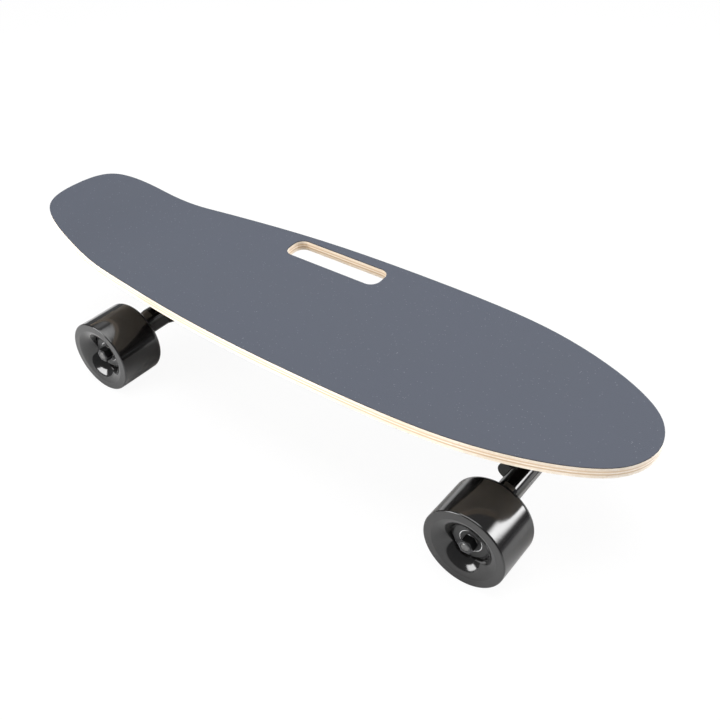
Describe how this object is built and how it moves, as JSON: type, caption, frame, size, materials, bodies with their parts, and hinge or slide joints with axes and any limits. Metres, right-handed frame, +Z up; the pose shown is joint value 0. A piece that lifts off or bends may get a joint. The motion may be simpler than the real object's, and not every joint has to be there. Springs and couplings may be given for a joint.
{
  "type": "electric skateboard",
  "caption": "Short maple cruiser deck with kicktail and carry slot on two sprung trucks, one wheel a hub motor, with a battery case below.",
  "frame": {"origin": "on the ground under the middle of the deck's length and width", "axes": "+X towards the nose, +Y to the rider's left (carry slot side), +Z up"},
  "size_m": [0.7, 0.241, 0.1453],
  "materials": {
    "maple": "clear lacquered maple plies",
    "grip": "slate grey abrasive grip tape",
    "riser_rubber": "hard black rubber",
    "black_bolt": "black oxide steel",
    "zinc_steel": "zinc plated steel",
    "truck_black": "gloss black powder coat on cast aluminium",
    "cup_urethane": "black urethane",
    "bushing_urethane": "smoky black urethane",
    "axle_steel": "ground steel",
    "bearing_steel": "polished bearing steel",
    "wheel_urethane": "gloss black urethane",
    "wheel_core": "black glass filled nylon",
    "motor_metal": "satin black anodised aluminium",
    "magnet": "nickel plated magnet",
    "lamination": "stacked electrical steel",
    "copper": "enamelled copper wire",
    "hub_aluminium": "machined aluminium",
    "case_plastic": "textured black plastic",
    "gasket_foam": "closed cell foam",
    "cell_wrap": "shrink wrapped lithium cells",
    "nickel": "spot welded nickel strip",
    "circuit_board": "solder masked circuit board",
    "chip": "moulded electronic parts",
    "button_plastic": "satin grey plastic",
    "window": "frosted translucent plastic",
    "cap_rubber": "soft black rubber"
  },
  "bodies": {
    "board": {"battery_board": "circuit_board", "battery_cells": "cell_wrap", "battery_links": "nickel", "bushing_washers": "zinc_steel", "charge_cap_bracket": "case_plastic", "charge_cap_pin": "zinc_steel", "charge_socket": "case_plastic", "controller_board": "circuit_board", "controller_parts": "chip", "deck": "maple", "enclosure": "case_plastic", "enclosure_gasket": "gasket_foam", "enclosure_screws": "black_bolt", "front_base_plate": "truck_black", "front_bushings": "bushing_urethane", "grip_tape": "grip", "heat_spreader": "hub_aluminium", "kingpin_nuts": "zinc_steel", "kingpins": "zinc_steel", "motor_cable_gland": "case_plastic", "pivot_cups": "cup_urethane", "power_switch": "chip", "rear_base_plate": "truck_black", "rear_bushings": "bushing_urethane", "riser_pads": "riser_rubber", "status_window": "window", "truck_bolts": "black_bolt", "truck_nuts": "zinc_steel"},
    "front_truck": {"front_hanger": "truck_black", "front_axle": "axle_steel", "front_axle_nuts": "black_bolt", "front_axle_spacers": "zinc_steel", "front_inner_races": "bearing_steel"},
    "rear_truck": {"rear_hanger": "truck_black", "rear_axle": "axle_steel", "rear_axle_nuts": "black_bolt", "rear_axle_spacers": "zinc_steel", "rear_inner_races": "bearing_steel", "rear_stator": "lamination", "rear_windings": "copper", "rear_stator_hub": "hub_aluminium"},
    "motor_wheel": {"rear_left_motor_tyre": "wheel_urethane", "rear_left_motor_can": "motor_metal", "rear_left_motor_cover": "motor_metal", "rear_left_motor_cover_screws": "black_bolt", "rear_left_motor_bearings": "bearing_steel", "rear_left_motor_magnets": "magnet"},
    "power_button": {"power_button": "button_plastic"},
    "charge_cap": {"charge_cap": "cap_rubber"},
    "front_left_wheel": {"front_left_tyre": "wheel_urethane", "front_left_core": "wheel_core", "front_left_bearings": "bearing_steel"},
    "front_right_wheel": {"front_right_tyre": "wheel_urethane", "front_right_core": "wheel_core", "front_right_bearings": "bearing_steel"},
    "rear_right_wheel": {"rear_right_tyre": "wheel_urethane", "rear_right_core": "wheel_core", "rear_right_bearings": "bearing_steel"}
  },
  "joints": [
    {"name": "front_steer", "type": "hinge", "parent": "board", "child": "front_truck", "pos_m": [0.271, 0, 0.079], "axis": [0.8659, 0, 0.5003], "range_deg": [-12, 12], "stiffness_Nm_per_rad": 60, "deforming": ["front_bushings"]},
    {"name": "rear_steer", "type": "hinge", "parent": "board", "child": "rear_truck", "pos_m": [-0.222, 0, 0.079], "axis": [-0.8659, 0, 0.5003], "range_deg": [-12, 12], "stiffness_Nm_per_rad": 60, "deforming": ["rear_bushings"]},
    {"name": "front_left_spin", "type": "hinge", "parent": "front_truck", "child": "front_left_wheel", "pos_m": [0.247, 0.0945, 0.039], "axis": [0, 1, 0], "continuous": true},
    {"name": "front_right_spin", "type": "hinge", "parent": "front_truck", "child": "front_right_wheel", "pos_m": [0.247, -0.0945, 0.039], "axis": [0, 1, 0], "continuous": true},
    {"name": "rear_right_spin", "type": "hinge", "parent": "rear_truck", "child": "rear_right_wheel", "pos_m": [-0.198, -0.0945, 0.039], "axis": [0, 1, 0], "continuous": true},
    {"name": "motor_spin", "type": "hinge", "parent": "rear_truck", "child": "motor_wheel", "pos_m": [-0.198, 0.0945, 0.039], "axis": [0, 1, 0], "continuous": true},
    {"name": "power_press", "type": "slide", "parent": "board", "child": "power_button", "axis": [0, 1, 0], "range_m": [0, 0.0008], "stiffness_N_per_m": 900},
    {"name": "charge_cap_hinge", "type": "hinge", "parent": "board", "child": "charge_cap", "pos_m": [0.14, -0.0445, 0.08115], "axis": [1, 0, 0], "range_deg": [0, 120]}
  ]
}
